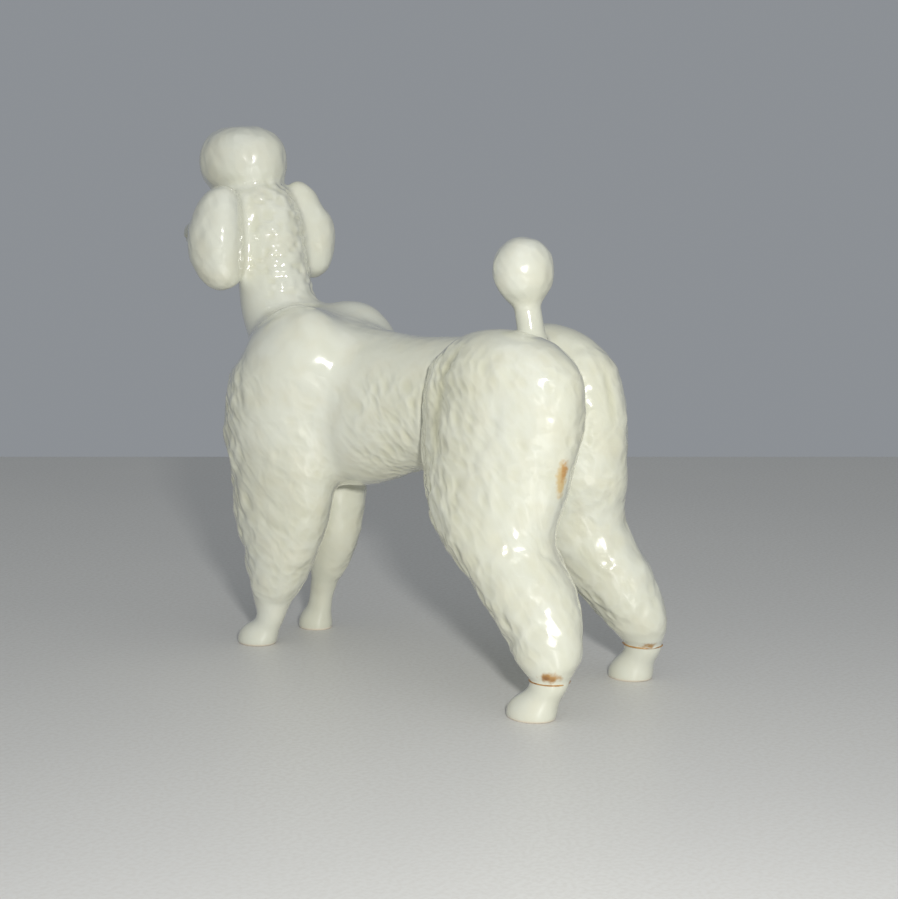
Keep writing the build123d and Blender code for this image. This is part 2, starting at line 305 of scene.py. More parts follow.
# Ovals up an ear: height, distance out and back from its middle, half-thickness, half-depth.
LEFT_EAR = (
    (94.0, -0.4, 2.2, 0, 0),
    (98.0, -0.2, 1.0, 5.2, 7.0),
    (102.0, 0, 0.3, 6.3, 8.2),
    (106.0, 0, 0, 6.6, 8.6),
    (111.0, -0.2, 0, 6.3, 8.3),
    (115.2, -0.9, 0, 5.6, 7.0),
    (118.6, -1.6, 0.3, 4.3, 5.2),
    (121.4, -2.4, 0.5, 0, 0),
)
RIGHT_EAR = (
    (96.4, -0.4, 2.2, 0, 0),
    (100.4, -0.2, 1.0, 5.2, 7.0),
    (104.4, 0, 0.3, 6.3, 8.2),
    (108.0, 0, 0, 6.6, 8.6),
    (112.5, -0.4, 0, 6.0, 8.0),
    (116.5, -1.6, 0, 4.6, 6.0),
    (119.8, -2.8, 0.5, 3.4, 4.1),
    (122.3, -4.0, 0.8, 0, 0),
)
EAR_SET_BACK = 9.0
EAR_SPREAD = 14.7


def limb(stations, paw_y, side):
    """A leg on one side, +1 for left and -1 for right."""
    ovals = [(z, side * out, paw_y + back, wide, deep) for z, out, back, wide, deep in stations]
    return Loft(np.zeros(3), UP, SIDEWAYS, ovals)


def ear(stations, side):
    """An ear on one side, hung from the back of the skull."""
    root = head_point(-EAR_SET_BACK, side * EAR_SPREAD, 0)
    ovals = [(z, out, side * back, thick, deep) for z, out, back, thick, deep in stations]
    return Loft(root, UP, leftward * side, ovals)


neck_base = np.array([0.0, FORE_Y + 6.1, 68.0])
neck_top = np.array([-1.0, FORE_Y - 8.0, 119.0])
muzzle_root = head_point(2.0, 0, 113.0)
muzzle_tip = head_point(29.0, 0, 106.7)

# Ovals along the neck: place, shift sideways, shift back, half-width, half-depth.
NECK = (
    (-8.5, 0, 0, 0, 0),
    (0, 0, 0, 12.6, 14.0),
    (12.0, 0, 0, 10.4, 11.6),
    (24.0, 0, -2.2, 9.3, 10.4),
    (36.0, 0, -1.2, 8.6, 9.6),
    (44.0, 0, 0, 8.1, 9.1),
    (50.0, 0, 0, 7.0, 7.8),
    (55.5, 0, 0, 0, 0),
)

# Ovals from the skull to the tip of the muzzle, as for the neck.
MUZZLE = (
    (0, 0, 0, 7.5, 7.5),
    (9.0, 0, 0, 5.4, 5.6),
    (18.0, 0, 0, 4.2, 4.3),
    (24.5, 0, 0, 3.6, 3.6),
    (27.5, 0, 0, 0, 0),
)

# The tail's stem: height, Y, radius.
TAIL = (
    (75.0, 51.3, 5.2),
    (83.0, 49.9, 4.0),
    (89.0, 48.7, 3.3),
    (93.0, 47.9, 3.3),
    (98.0, 46.9, 3.6),
)

# Eggs of the head: distance ahead of its axis, height, and half-sizes sideways, ahead and up.
SKULL_AHEAD, SKULL_Z, SKULL_RADII = -2.0, 115.5, (9.5, 12.5, 9.0)
TOPKNOT_Z, TOPKNOT_RADII, TOPKNOT_BOXINESS = 127.5, (11.2, 13.1, 9.6), 2.4
EYE_AHEAD, EYE_OUT, EYE_Z, EYE_RADII = 6.4, 6.9, 116.6, (1.0, 1.7, 1.2)
NOSE_AHEAD, NOSE_Z, NOSE_RADII = 27.6, 107.9, (2.0, 1.7, 1.5)

FORE_TOE_X = 11.2
LEFT_FORE_TOE = (FORE_Y + 0.7, 6.9)      # middle and half-length of a fore paw, heel included
RIGHT_FORE_TOE = (FORE_Y + 1.6, 5.8)
PAW_Z = 1.1
PAW_HALF_HEIGHT = 4.4
PAW_HALF_WIDTH = 4.6
HEEL_TRIM = 1.7               # the heel tucks in under the ankle, so the toe stops short of it


def toe(x, y, half_length):
    """The slipper-like toe of a paw."""
    middle = (x, y - HEEL_TRIM, PAW_Z)
    return Egg(middle, (PAW_HALF_WIDTH, half_length - HEEL_TRIM, PAW_HALF_HEIGHT), SIDEWAYS)


trunk = [(y, z, 0, tall, wide) for y, z, wide, tall in TORSO]
forms = {
    "torso": Loft(np.zeros(3), BACKWARDS, UP, trunk),
    "left_hind_leg": limb(LEFT_HIND_LEG, HIND_Y, 1),
    "right_hind_leg": limb(RIGHT_HIND_LEG, HIND_Y, -1),
    "left_foreleg": limb(LEFT_FORELEG, FORE_Y, 1),
    "right_foreleg": limb(RIGHT_FORELEG, FORE_Y, -1),
    "neck": Loft(neck_base, neck_top - neck_base, SIDEWAYS, NECK),
    "head": Egg(head_point(SKULL_AHEAD, 0, SKULL_Z), SKULL_RADII, leftward),
    "topknot": Egg(head_point(0, 0, TOPKNOT_Z), TOPKNOT_RADII, leftward, TOPKNOT_BOXINESS),
    "muzzle": Loft(muzzle_root, muzzle_tip - muzzle_root, leftward, MUZZLE),
    "left_eye": Egg(head_point(EYE_AHEAD, EYE_OUT, EYE_Z), EYE_RADII, leftward),
    "right_eye": Egg(head_point(EYE_AHEAD, -EYE_OUT, EYE_Z), EYE_RADII, leftward),
    "nose": Egg(head_point(NOSE_AHEAD, 0, NOSE_Z), NOSE_RADII, leftward),
    "left_ear": ear(LEFT_EAR, 1),
    "right_ear": ear(RIGHT_EAR, -1),
    "tail_stem": Loft(np.zeros(3), UP, SIDEWAYS, [(z, 0, y, r, r) for z, y, r in TAIL]),
    "tail_pompom": Egg(pompom_middle, pompom_size),
    "left_hind_toe": toe(left_hind_toe[0], left_hind_toe[1], left_hind_toe_size[1]),
    "right_hind_toe": toe(right_hind_toe[0], right_hind_toe[1], right_hind_toe_size[1]),
    "left_fore_toe": toe(FORE_TOE_X, *LEFT_FORE_TOE),
    "right_fore_toe": toe(-FORE_TOE_X, *RIGHT_FORE_TOE),
}


def distances(points):
    """Distance from each point to each form, mm, by the form's name."""
    found = {}
    for name, form in forms.items():
        d = np.full(len(points), FAR, np.float32)
        near = np.all((points > form.low) & (points < form.high), axis=1)
        d[near] = form(points[near])
        found[name] = d
    return found


# Fillets where one form runs into another, mm.
FILLET = {
    "neck": 6.0, "elbow": 3.5, "withers": 7.0, "between hind legs": 1.5, "flank": 1.3,
    "pompom": 2.5, "tail root": 1.5, "muzzle": 4.0, "nose": 1.0, "eye": 0.7, "skull": 3.0,
    "ear": 4.5, "topknot": 1.8, "sole": 0.8, "toe": 3.0,
}
ELBOW_Z, WITHERS_Z = 60.0, 74.0    # the shoulder's fillet widens between these heights


def skin(points, d=None):
    """Distance to the whole figure's surface, before its wool is modelled."""
    d = d or distances(points)
    rise = np.clip((points[:, 2] - ELBOW_Z) / (WITHERS_Z - ELBOW_Z), 0, 1)
    shoulder = FILLET["elbow"] + (FILLET["withers"] - FILLET["elbow"]) * rise
    hind = join(d["left_hind_leg"], d["right_hind_leg"], FILLET["between hind legs"])
    tail = join(d["tail_stem"], d["tail_pompom"], FILLET["pompom"])
    face = join(join(d["head"], d["muzzle"], FILLET["muzzle"]), d["nose"], FILLET["nose"])
    face = join(face, np.minimum(d["left_eye"], d["right_eye"]), FILLET["eye"])

    body = join(d["torso"], d["neck"], FILLET["neck"])
    body = join(body, d["left_foreleg"], shoulder)
    body = join(body, d["right_foreleg"], shoulder)
    body = join(body, hind, FILLET["flank"])
    body = join(body, tail, FILLET["tail root"])
    body = join(body, face, FILLET["skull"])
    body = join(body, np.minimum(d["left_ear"], d["right_ear"]), FILLET["ear"])
    body = join(body, d["topknot"], FILLET["topknot"])
    for name in forms:
        if name.endswith("toe"):
            body = join(body, meet(d[name], -points[:, 2], FILLET["sole"]), FILLET["toe"])
    return body


def slope(points, step=0.05):
    """Distance and outward unit normal at each point."""
    corners = np.array([[1, 1, 1], [1, -1, -1], [-1, 1, -1], [-1, -1, 1]], float)
    total = np.zeros_like(points)
    level = np.zeros(len(points))
    for corner in corners:
        value = skin(points + corner * step)
        total += value[:, None] * corner
        level += value / 4
    total /= np.linalg.norm(total, axis=1, keepdims=True) + 1e-12
    return level, total


# ---------------------------------------------------------------- noise

random = np.random.RandomState(7)
HASH_SIZE = 4096                      # a power of two, so that HASH_SIZE - 1 works as a mask
HASH = random.permutation(HASH_SIZE)
HASH_VALUES = random.rand(HASH_SIZE, 4)


def lattice(cells):
    """Four random numbers for each cell of a grid."""
    mask = HASH_SIZE - 1
    i, j, k = (cells[:, axis].astype(np.int64) for axis in range(3))
    return HASH_VALUES[HASH[(HASH[(HASH[i & mask] + j) & mask] + k) & mask]]


def waves(points, length):
    """Smooth noise from -1 to 1 with bumps about this long, mm."""
    q = points / length
    cell = np.floor(q)
    u = q - cell
    u = u * u * (3 - 2 * u)
    total = np.zeros(len(points))
    for corner in np.ndindex(2, 2, 2):
        weight = np.prod(np.where(corner, u, 1 - u), axis=1)
        total += weight * lattice(cell + corner)[:, 0]
    return 2 * total - 1


FLOW = (0.0, 0.62, -0.78)    # the wool is combed down and back
STROKE_FILL = 0.85       # how much of its cell a tool stroke takes up
STROKE_SCATTER = 0.7     # how much of its cell a stroke's middle may be found in
SHALLOWEST = 0.25        # the shallowest stroke's depth, as a share of the deepest's


def gouges(points, length, width):
    """Depth, 0 to 1, of tool strokes pressed along the flow, each of its own depth."""
    flow = unit(FLOW)
    aside = unit(np.cross(flow, SIDEWAYS + 0.3 * BACKWARDS))
    axes = np.array([flow / length, aside / width, np.cross(flow, aside) / width])
    q = points @ axes.T
    cell = np.floor(q)
    depth = np.zeros(len(points))
    for shift in np.ndindex(3, 3, 3):
        here = cell + shift - 1.0
        rolled = lattice(here)
        gap = q - here - (1 - STROKE_SCATTER) / 2 - STROKE_SCATTER * rolled[:, :3]
        closeness = np.clip(1 - (gap**2).sum(1) / STROKE_FILL**2, 0, 1)
        depth = np.maximum(depth, closeness**2 * (SHALLOWEST + (1 - SHALLOWEST) * rolled[:, 3]))
    return depth


def ramp(value, low, high):
    """0 below low, 1 above high, smooth between."""
    t = np.clip((value - low) / (high - low), 0, 1)
    return t * t * (3 - 2 * t)


# ---------------------------------------------------------------- modelled wool

BEND, BEND_LENGTH = 1.3, 5.5              # how far the strokes wander, and over what length, mm
COARSE_STROKE, COARSE_DEPTH = (4.2, 2.4), 0.48    # length and width, then depth, mm
FINE_STROKE, FINE_DEPTH = (2.6, 1.3), 0.16
LUMP, SWELL, LUMP_DEPTH = 3.0, 6.0, 0.30  # lengths of the two sizes of lump, and their depth, mm
LEG_UNEVENNESS = 0.09                     # depth of the lumps on the legs' smooth parts, mm
CURL_LUMP_DEPTH, CURL_STROKE_DEPTH = 0.17, 0.2    # on the ears, topknot and pompom, mm
ROW, ROW_DEPTH, NAPE_LUMP_DEPTH = 1.5, 0.34, 0.14    # combed rows down the nape, mm
FOLD_DEPTH, MOUTH_DEPTH = 0.6, 0.4
EAR_CURLS, KNOB_CURLS = 0.9, 0.8          # how curly the ears, and the topknot and pompom, are
BURIED, BARED = -3.0, -0.3                # a form fades from the skin as it sinks between these, mm
SOLE_TOP, SMOOTH_TOP = 0.2, 1.5           # the paws' rims stay smooth over these heights, mm
THIGH_FOLD = math.radians(-33)    # where the rolled front edge of the left thigh lies round it
RUMP_FOLD = math.radians(104)     # where the fold lies round the back of the right thigh


def furrow(angle, place, half_width):
    """1 along a line at the given angle, falling to 0 beside it."""
    off = (angle - place + np.pi) % (2 * np.pi) - np.pi
    return np.exp(-(off / half_width) ** 2)


def between(z, low, full, still_full, high):
    """1 between two heights, falling smoothly to 0 below and above them."""
    return ramp(z, low, full) * ramp(-z, -high, -still_full)


def wool_share(points, normals, near, fore, hind):
    """How woolly each point is, 0 to 1: sleeves, breeches and a little on the flanks."""
    z = points[:, 2]
    front = ramp(-normals[:, 1], -0.3, 0.6)
    low = ramp(-z, -70, -40)
    outer = ramp(normals[:, 0] * np.sign(points[:, 0]), -0.6, 0.1)
    trunk = near["torso"] * (1 - np.maximum(fore, hind))
    flank = trunk * ramp(points[:, 1], FORE_Y + 24, FORE_Y + 46) * ramp(-z, -83, -70)
    sleeves = fore * (0.2 + 0.8 * np.maximum(front, 0.3 * low)) * between(z, 9, 16, 68, 82)
    sleeves *= 0.3 + 0.7 * outer
    breeches = hind * (0.42 + 0.58 * front) * between(z, 9, 16, 80, 89)
    return np.maximum.reduce([sleeves, breeches, 0.75 * flank, 0.15 * trunk])


def folds_share(points, near):
    """1 along the two folds modelled round the thighs."""
    z = points[:, 2]
    thigh = near["left_hind_leg"] * between(z, 50, 64, 80, 88)
    thigh = thigh * furrow(forms["left_hind_leg"].turn(points), THIGH_FOLD, 0.12)
    rump = 0.7 * near["right_hind_leg"] * between(z, 56, 74, 74, 84)
    rump = rump * furrow(forms["right_hind_leg"].turn(points), np.pi - RUMP_FOLD, 0.11)
    return np.maximum(thigh, rump)


def mouth_share(points, near):
    """1 along the line of the closed mouth."""
    along, _, rise = forms["muzzle"].locate(points)
    return near["muzzle"] * ramp(along, 13, 15) * np.exp(-((rise + 1.0) / 0.4) ** 2)


def relief(points, normals, d):
    """Depth pressed into the skin at each point, mm, and how much of it is glaze-filled hollow."""
    z = points[:, 2]
    surface = skin(points, d)
    near = {name: ramp(surface - d[name], BURIED, BARED) for name in forms}
    fore = np.maximum(near["left_foreleg"], near["right_foreleg"])
    hind = np.maximum(near["left_hind_leg"], near["right_hind_leg"])
    ears = np.maximum(near["left_ear"], near["right_ear"])
    knobs = np.maximum(near["topknot"], near["tail_pompom"])

    bent = points + BEND * np.stack([waves(points + s, BEND_LENGTH) for s in (0, 31, 67)], axis=1)
    coarse = gouges(bent, *COARSE_STROKE)
    fine = gouges(bent + 11.0, *FINE_STROKE)
    lumps = waves(bent, LUMP) + 0.9 * waves(points + 53, SWELL)
    rows = waves(points * (0.8, 0.8, 1.1) + 17, ROW)

    wool = wool_share(points, normals, near, fore, hind)
    depth = wool * (COARSE_DEPTH * coarse + FINE_DEPTH * fine + LUMP_DEPTH * lumps)
    depth += LEG_UNEVENNESS * (fore + hind) * lumps
    curls = EAR_CURLS * ears + KNOB_CURLS * knobs
    depth += curls * (CURL_LUMP_DEPTH * lumps + CURL_STROKE_DEPTH * coarse)
    nape = near["neck"] * (1 - ears) * ramp(normals[:, 1], 0.1, 0.5) * ramp(z, 88, 96)
    depth += nape * (ROW_DEPTH * rows + NAPE_LUMP_DEPTH * lumps)
    folds = folds_share(points, near)
    mouth = mouth_share(points, near)
    depth += FOLD_DEPTH * folds + MOUTH_DEPTH * mouth
    depth *= ramp(z, SOLE_TOP, SMOOTH_TOP)
    hollow = np.maximum.reduce([
        wool * coarse, 0.7 * wool * fine, folds, mouth, 0.35 * nape * ramp(rows, 0, 0.6),
    ])
    return depth, hollow


# ---------------------------------------------------------------- meshing

MARGIN = 3.0     # room left round the CAD's box, mm
SLAB = 8         # how many layers of the grid are worked out at once
BAND = 3         # distances are kept only this many cells to either side of the skin


def mesh_skin():
    """Four-sided faces over the whole skin."""
    low = np.array(cad_box[0]) / MM - MARGIN
    high = np.array(cad_box[1]) / MM + MARGIN
    shape = np.ceil((high - low) / FINE).astype(int) + 1
    volume = np.empty(shape, np.float32)
    ys, zs = (low[axis] + FINE * np.arange(shape[axis]) for axis in (1, 2))
    layer = [np.zeros((shape[1], shape[2])), *np.meshgrid(ys, zs, indexing="ij")]
    layer = np.stack(layer, -1).reshape(-1, 3)
    for start in range(0, shape[0], SLAB):
        xs = low[0] + FINE * np.arange(start, min(start + SLAB, shape[0]))
        points = (layer[None] + xs[:, None, None] * SIDEWAYS).reshape(-1, 3)
        volume[start:start + SLAB] = skin(points).reshape(len(xs), shape[1], shape[2])
    grid = openvdb.FloatGrid(BAND * FINE)
    grid.copyFromArray(np.clip(volume, -BAND * FINE, BAND * FINE))
    points, quads = grid.convertToQuads(0.0)
    return points.astype(float) * FINE + low, quads.astype(np.int64)


def refine(points, quads):
    """Split every face in four."""
    edges = np.sort(np.stack([quads, np.roll(quads, -1, axis=1)], -1).reshape(-1, 2), axis=1)
    keys, edge_of = np.unique(edges[:, 0] * len(points) + edges[:, 1], return_inverse=True)
    a, b = keys // len(points), keys % len(points)
    edge_points = (points[a] + points[b]) / 2
    middles = points[quads].mean(axis=1)
    edge_of = edge_of.reshape(-1, 4) + len(points)
    middle = np.arange(len(quads)) + len(points) + len(edge_points)
    split = [np.stack([quads[:, i], edge_of[:, i], middle, edge_of[:, i - 1]], 1) for i in range(4)]
    return np.concatenate([points, edge_points, middles]), np.concatenate(split)


def settle(points, rounds=2):
    """Move points along the slope onto the skin."""
    for _ in range(rounds):
        level, normals = slope(points)
        points = points - normals * level[:, None]
    return points, normals


def vertex_normals(points, quads):
    """Area-weighted normals of a four-sided mesh."""
    p = points[quads]
    faces = np.cross(p[:, 2] - p[:, 0], p[:, 3] - p[:, 1])
    total = np.zeros_like(points)
    for i in range(4):
        for axis in range(3):
            total[:, axis] += np.bincount(quads[:, i], faces[:, axis], len(points))
    return total / (np.linalg.norm(total, axis=1, keepdims=True) + 1e-12)


NODES = (
    "torso", "left_hind_leg", "right_hind_leg", "left_foreleg", "right_foreleg", "neck", "head",
    "topknot", "left_ear", "right_ear", "tail_stem", "tail_pompom", "left_hind_paw", "right_hind_paw",
)


def owners(points):
    """The CAD node whose form lies nearest to each point."""
    d = distances(points)
    below = points[:, 2] < ANKLE_Z
    level = {name: d[name] for name in NODES if name in d}
    level["head"] = np.minimum(d["head"], d["muzzle"])
    for side in ("left", "right"):
        level[side + "_foreleg"] = np.minimum(d[side + "_foreleg"], d[side + "_fore_toe"])
        hind = np.minimum(d[side + "_hind_leg"], d[side + "_hind_toe"])
        level[side + "_hind_leg"] = np.where(below, FAR, hind)
        level[side + "_hind_paw"] = np.where(below, hind, FAR)
    return np.argmin(np.stack([level[name] for name in NODES]), axis=0)


def open_rims(quads, count):
    """The open rims of a set of faces, each as a list of points in order."""
    a, b = quads.ravel(), np.roll(quads, -1, axis=1).ravel()
    forward = a * count + b
    rim = ~np.isin(b * count + a, forward)
    follow = dict(zip(b[rim].tolist(), a[rim].tolist()))
    loops = []
    while follow:
        start, nxt = follow.popitem()
        loop = [start]
        while nxt != start and nxt in follow:
            loop.append(nxt)
            nxt = follow.pop(nxt)
        loops.append(loop)
    return loops


HUB_SINK = 0.6         # a closed rim dips inwards by this share of its radius
HUB_CLEARANCE = 0.5    # and by this much more, mm


def build_piece(name, points, normals, attributes, quads):
    """A mesh object of one CAD node: its share of the skin, with its seams closed inside."""
    used, local = np.unique(quads, return_inverse=True)
    local = local.reshape(-1, 4)
    shared = points[used]
    centres = []
    faces = local.tolist()
    for loop in open_rims(local, len(used)):
        if len(loop) < 3:
            continue
        hub = len(used) + len(centres)
        rim, lean = shared[loop], normals[used[loop]].mean(axis=0)
        spread = np.linalg.norm(rim - rim.mean(axis=0), axis=1).mean()
        centres.append(rim.mean(axis=0) - lean * (HUB_SINK * spread + HUB_CLEARANCE))
        faces.extend([loop[i], loop[(i + 1) % len(loop)], hub] for i in range(len(loop)))
    vertices = np.concatenate([shared, np.array(centres).reshape(-1, 3)])
    mesh = bpy.data.meshes.new(name)
    mesh.from_pydata((vertices * MM).tolist(), [], faces)
    mesh.polygons.foreach_set("use_smooth", [True] * len(faces))
    facing_out = np.concatenate([normals[used], np.tile(UP, (len(centres), 1))])
    for key, values in attributes.items():
        layer = mesh.attributes.new(key, "FLOAT", "POINT")
        padded = np.concatenate([values[used], np.zeros(len(centres))])
        layer.data.foreach_set("value", padded.astype(np.float32))
    mesh.validate()
    mesh.normals_split_custom_set_from_vertices(facing_out.tolist())
    piece = bpy.data.objects.new(name, mesh)
    bpy.context.collection.objects.link(piece)
    return piece


# ---------------------------------------------------------------- materials


class Nodes:
    """Short-hand for building a node material."""

    def __init__(self, name):
        self.material = bpy.data.materials.new(name)
        self.material.use_nodes = True
        self.tree = self.material.node_tree
        self.tree.nodes.clear()

    def add(self, kind, settings=(), **inputs):
        """A node; its sockets are given by number, as i0, or by name, with _ for each space."""
        node = self.tree.nodes.new("ShaderNode" + kind)
        for key, value in dict(settings).items():
            setattr(node, key, value)
        for key, value in inputs.items():
            numbered = key[0] == "i" and key[1:].isdigit()
            socket = node.inputs[int(key[1:]) if numbered else key.replace("_", " ")]
            if isinstance(value, bpy.types.NodeSocket):
                self.tree.links.new(value, socket)
            else:
                socket.default_value = value
        return node

    def math(self, operation, a, b=0.0):
        return self.add("Math", {"operation": operation}, i0=a, i1=b).outputs[0]

    def range(self, value, low, high, to_low=0.0, to_high=1.0):
        node = self.add(
            "MapRange", {"interpolation_type": "SMOOTHSTEP"},
            Value=value, From_Min=low, From_Max=high, To_Min=to_low, To_Max=to_high,
        )
        return node.outputs[0]

    def mix(self, factor, a, b):
        node = self.add("Mix", {"data_type": "RGBA"}, i0=factor, i6=a, i7=b)
        return node.outputs[2]

    def noise(self, vector, scale, detail=3.0):
        node = self.add("TexNoise", Vector=vector, Scale=scale, Detail=detail, Roughness=0.5)
        return node.outputs["Fac"]

    def spot(self, place, centre, stretch, size, wobble, soft=0.6):
        """1 in an egg-shaped spot: its centre and size are in mm, and wobble is in metres."""
        middle = [c * MM for c in centre]
        away = self.add("VectorMath", {"operation": "SUBTRACT"}, i0=place, i1=middle).outputs[0]
        away = self.add("VectorMath", {"operation": "MULTIPLY"}, i0=away, i1=stretch).outputs[0]
        distance = self.add("VectorMath", {"operation": "LENGTH"}, i0=away).outputs["Value"]
        distance = self.math("ADD", distance, wobble)
        return self.range(distance, (size + soft) * MM, (size - soft) * MM)

    def finish(self, **shader):
        principled = self.add("BsdfPrincipled", **shader)
        self.add("OutputMaterial", Surface=principled.outputs[0])
        return self.material


def srgb(red, green, blue):
    """Linear colour from 0-255 display values."""
    return (*(((c / 255 + 0.055) / 1.055) ** 2.4 for c in (red, green, blue)), 1.0)


# Display colours, 0 to 255.
CREAM, MILK, IVORY = (211, 211, 192), (216, 217, 202), (210, 205, 180)    # the glaze, in clouds
POOLED = (197, 194, 156)          # the glaze where it is thick
BISQUE = (214, 204, 184)          # bare fired clay
EYE_PAINT, NOSE_PAINT = (58, 44, 34), (206, 186, 176)
GLUE_PALE, GLUE_DARK = (186, 146, 92), (140, 96, 50)
TABLE_COLOUR, TABLE_SPECKLE, TABLE_CLOUD = (217, 216, 211), (211, 209, 203), (206, 205, 201)
STUDIO_GREY = (146, 150, 155)

# How a spot's distances are stretched: under 1 makes it longer that way.
ROUND, TALL, LEVEL = (1.0, 1.0, 1.0), (1.0, 1.0, 0.36), (0.5, 0.5, 1.0)
EYE_STRETCH = (1.0, 1.0, 1.35)

# Brown marks left by old glue: place in mm, stretch, size in mm, colour.
STAINS = (
    ((13.4, 67.0, 55.0), TALL, 1.4, (202, 178, 128)),
    ((12.8, 67.4, 57.0), TALL, 0.8, (184, 140, 82)),
    ((24.6, 72.1, 11.3), LEVEL, 1.1, (176, 134, 76)),
    ((25.4, 71.6, 11.0), LEVEL, 0.6, (136, 92, 46)),
    ((-17.0, 73.0, 9.9), LEVEL, 0.7, (168, 130, 78)),
)
STAIN_WANDER = 2.2                     # how far a stain's edge wanders, mm
EYE_SPOT, EYE_EDGE = 1.7, 0.25         # sizes and half-widths of the edges of painted spots, mm
NOSE_SPOT, NOSE_EDGE = 2.6, 1.2
GLAZED_ABOVE, BARE_BELOW = 0.7, 0.2    # the glaze is wiped off the soles up to these heights, mm


def glaze():
    """Clear glossy glaze over cream-white slip: deeper and greener where it pools."""
    n = Nodes("cream_glaze")
    place = n.add("TexCoord").outputs["Object"]
    pool = n.add("Attribute", {"attribute_name": "pool"}).outputs["Fac"]
    broad = n.noise(place, 38.0, 2.0)
    cloudy = n.noise(place, 160.0, 4.0)
    colour = n.mix(n.range(broad, 0.35, 0.65), srgb(*CREAM), srgb(*MILK))
    colour = n.mix(n.math("MULTIPLY", n.range(cloudy, 0.4, 0.75), 0.35), colour, srgb(*IVORY))
    colour = n.mix(n.math("MULTIPLY", pool, 0.6), colour, srgb(*POOLED))

    wobble = n.math("SUBTRACT", n.noise(place, 700.0, 3.0), 0.5)
    wobble = n.math("MULTIPLY", wobble, STAIN_WANDER * MM)
    for centre, stretch, size, tint in STAINS:
        colour = n.mix(n.spot(place, centre, stretch, size, wobble), colour, srgb(*tint))
    for name in ("left_eye", "right_eye"):
        eye = n.spot(place, forms[name].middle, EYE_STRETCH, EYE_SPOT, 0.0, EYE_EDGE)
        colour = n.mix(eye, colour, srgb(*EYE_PAINT))
    nose = n.spot(place, forms["nose"].middle, ROUND, NOSE_SPOT, wobble, NOSE_EDGE)
    colour = n.mix(n.math("MULTIPLY", nose, 0.6), colour, srgb(*NOSE_PAINT))
    height = n.add("SeparateXYZ", Vector=place).outputs["Z"]
    bare = n.range(height, GLAZED_ABOVE * MM, BARE_BELOW * MM)
    colour = n.mix(bare, colour, srgb(*BISQUE))
    gloss = n.range(cloudy, 0.3, 0.7, 0.14, 0.24)
    roughness = n.math("MAXIMUM", gloss, n.math("MULTIPLY", bare, 0.8))
    ripple = n.noise(place, 420.0, 2.0)
    bump = n.add("Bump", Strength=0.25, Distance=0.00012, Height=ripple)
    return n.finish(
        Base_Color=colour, Roughness=roughness, IOR=1.5, Coat_Weight=1.0, Coat_Roughness=0.07,
        Normal=bump.outputs[0],
    )


def adhesive():
    """Old yellow-brown glue, darker where it is thick."""
    n = Nodes("old_adhesive")
    place = n.add("TexCoord").outputs["Object"]
    cloudy = n.noise(place, 600.0, 3.0)
    colour = n.mix(n.range(cloudy, 0.35, 0.65), srgb(*GLUE_PALE), srgb(*GLUE_DARK))
    roughness = n.range(cloudy, 0.3, 0.7, 0.2, 0.45)
    bump = n.add("Bump", Strength=0.5, Distance=0.0001, Height=cloudy)
    return n.finish(Base_Color=colour, Roughness=roughness, Normal=bump.outputs[0])


def floor_finish():
    """A pale laminate table top with a faint speckle."""
    n = Nodes("pale_floor")
    place = n.add("TexCoord").outputs["Object"]
    speckle = n.noise(place, 900.0, 4.0)
    broad = n.noise(place, 9.0, 2.0)
    colour = n.mix(n.range(speckle, 0.35, 0.7), srgb(*TABLE_COLOUR), srgb(*TABLE_SPECKLE))
    clouds = n.math("MULTIPLY", n.range(broad, 0.3, 0.7), 0.3)
    colour = n.mix(clouds, colour, srgb(*TABLE_CLOUD))
    return n.finish(Base_Color=colour, Roughness=n.range(speckle, 0.3, 0.7, 0.42, 0.55))


# ---------------------------------------------------------------- build the figure

points, quads = mesh_skin()
points, quads = refine(points, quads)
points, smooth_normals = settle(points)
quads_owner = owners(points[quads].mean(axis=1))
depth, pool = relief(points, smooth_normals, distances(points))
points = points - smooth_normals * depth[:, None]
points[:, 2] = np.maximum(points[:, 2], 0.0)
normals = vertex_normals(points, quads)

glazed = glaze()
for index, node in enumerate(NODES):
    share = quads[quads_owner == index]
    piece = build_piece(node + "_glazed", points, normals, {"pool": pool}, share)
    piece.data.materials.append(glazed)
    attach(piece, "root")
    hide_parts(node)

GLUE_POINTS = 96                      # points round the glue film
GLUE_INSET = 0.25                     # the film's edge lies this far inside the paw's outline, mm,
GLUE_BEAD, GLUE_WANDER = 0.16, 0.2    # and swells out by this much, more here and less there
GLUE_PROFILE = ((-0.6, 0.0), (-0.3, 0.75), (0.0, 1.0), (0.3, 0.7), (0.6, 0.0))    # height, bulge


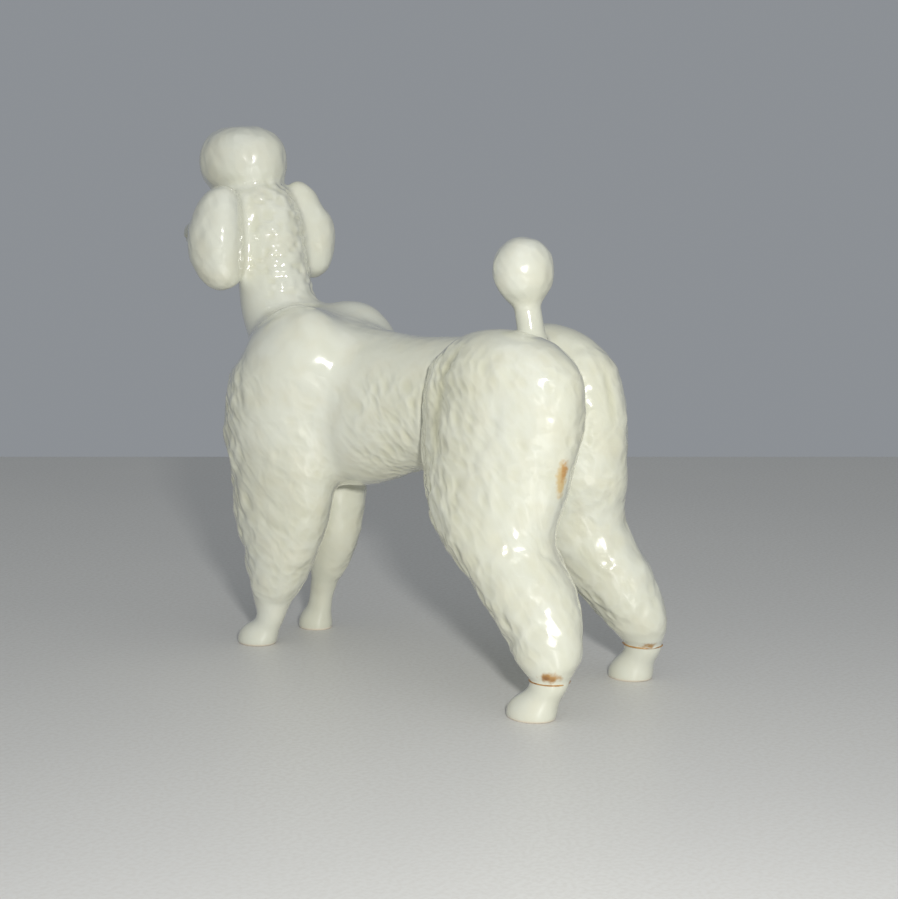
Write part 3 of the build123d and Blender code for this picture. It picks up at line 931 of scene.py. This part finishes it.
def glue_film(side, phase):
    """The film of old glue in one break, squeezed out a little all round."""
    middle, size = cad(side + "_hind_glue")
    angle = np.linspace(0, 2 * np.pi, GLUE_POINTS, endpoint=False)
    swell = GLUE_BEAD + GLUE_WANDER * np.sin(3 * angle + phase) * np.sin(angle)
    vertices, faces = [], []
    for height, bulge in GLUE_PROFILE:
        radius = size[:2, None] - GLUE_INSET + swell * bulge
        lift = np.full(GLUE_POINTS, height * GLUE)
        ring = np.stack([radius[0] * np.cos(angle), radius[1] * np.sin(angle), lift], 1)
        vertices.extend((ring + middle) * MM)
    top = (len(GLUE_PROFILE) - 1) * GLUE_POINTS
    for below in range(0, top, GLUE_POINTS):
        above = below + GLUE_POINTS
        for i in range(GLUE_POINTS):
            j = (i + 1) % GLUE_POINTS
            faces.append([below + i, below + j, above + j, above + i])
    faces.append(list(range(GLUE_POINTS))[::-1])
    faces.append([top + i for i in range(GLUE_POINTS)])
    mesh = bpy.data.meshes.new(side + "_glue_film")
    mesh.from_pydata([tuple(v) for v in vertices], [], faces)
    mesh.polygons.foreach_set("use_smooth", [True] * len(faces))
    film = bpy.data.objects.new(side + "_glue_film", mesh)
    bpy.context.collection.objects.link(film)
    return film


glue_look = adhesive()
for side, phase in (("left", 0), ("right", 2)):
    film = glue_film(side, phase)
    film.data.materials.append(glue_look)
    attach(film, "root")
    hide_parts(side + "_hind_glue")

# ---------------------------------------------------------------- table, light and camera

VIEW_AZIMUTH = math.radians(127.5)    # the photo looks from behind the dog's left side
LENS_HEIGHT = 125.9
LENS_DISTANCE = 444.4
LENS_PITCH = math.radians(8.9)
SENSOR_WIDTH, FOCAL_LENGTH = 36.0, 72.16
AIM = np.array([0.0, FORE_Y + 55.5, 0.0])    # the place on the table that the camera faces
TABLE_EDGE = 339.0                    # how far beyond that place the table ends, mm
TABLE_REACH = 2500.0                  # how far it spreads the other ways, mm

back = np.array([math.sin(VIEW_AZIMUTH), -math.cos(VIEW_AZIMUTH), 0.0])
right = np.array([math.cos(VIEW_AZIMUTH), math.sin(VIEW_AZIMUTH), 0.0])
lens = AIM + back * LENS_DISTANCE + UP * LENS_HEIGHT

camera_data = bpy.data.cameras.new("camera")
camera_data.sensor_fit = "HORIZONTAL"
camera_data.sensor_width = SENSOR_WIDTH
camera_data.lens = FOCAL_LENGTH
camera_data.clip_start = 0.01
camera = bpy.data.objects.new("camera", camera_data)
camera.location = Vector(lens * MM)
looking = -back * math.cos(LENS_PITCH) - UP * math.sin(LENS_PITCH)
camera.rotation_euler = Vector(looking).to_track_quat("-Z", "Y").to_euler()
bpy.context.collection.objects.link(camera)
bpy.context.scene.camera = camera

corners = [
    AIM + right * aside - back * beyond
    for aside, beyond in (
        (-TABLE_REACH, -TABLE_REACH), (TABLE_REACH, -TABLE_REACH),
        (TABLE_REACH, TABLE_EDGE), (-TABLE_REACH, TABLE_EDGE),
    )
]
floor_mesh = bpy.data.meshes.new("table")
floor_mesh.from_pydata([tuple(corner * MM) for corner in corners], [], [(0, 1, 2, 3)])
floor = bpy.data.objects.new("table", floor_mesh)
floor.data.materials.append(floor_finish())
bpy.context.collection.objects.link(floor)

LIT_HEIGHT = 65.0    # the lamps face this height on the figure, mm


def softbox(name, ahead, aside, height, size, power):
    """A square area light placed from the figure: ahead towards the camera, aside to its right."""
    data = bpy.data.lights.new(name, "AREA")
    data.size = size * MM
    data.energy = power
    lamp = bpy.data.objects.new(name, data)
    place = AIM + back * ahead + right * aside + UP * height
    lamp.location = Vector(place * MM)
    lamp.rotation_euler = Vector(AIM + UP * LIT_HEIGHT - place).to_track_quat("-Z", "Y").to_euler()
    bpy.context.collection.objects.link(lamp)


softbox("key", ahead=440, aside=40, height=175, size=30, power=1.6)
softbox("overhead", ahead=160, aside=60, height=700, size=700, power=0.5)

world = bpy.data.worlds.new("studio")
world.use_nodes = True
backdrop = world.node_tree.nodes["Background"]
backdrop.inputs["Color"].default_value = srgb(*STUDIO_GREY)
backdrop.inputs["Strength"].default_value = 0.92
bpy.context.scene.world = world
bpy.context.scene.view_settings.view_transform = "Standard"
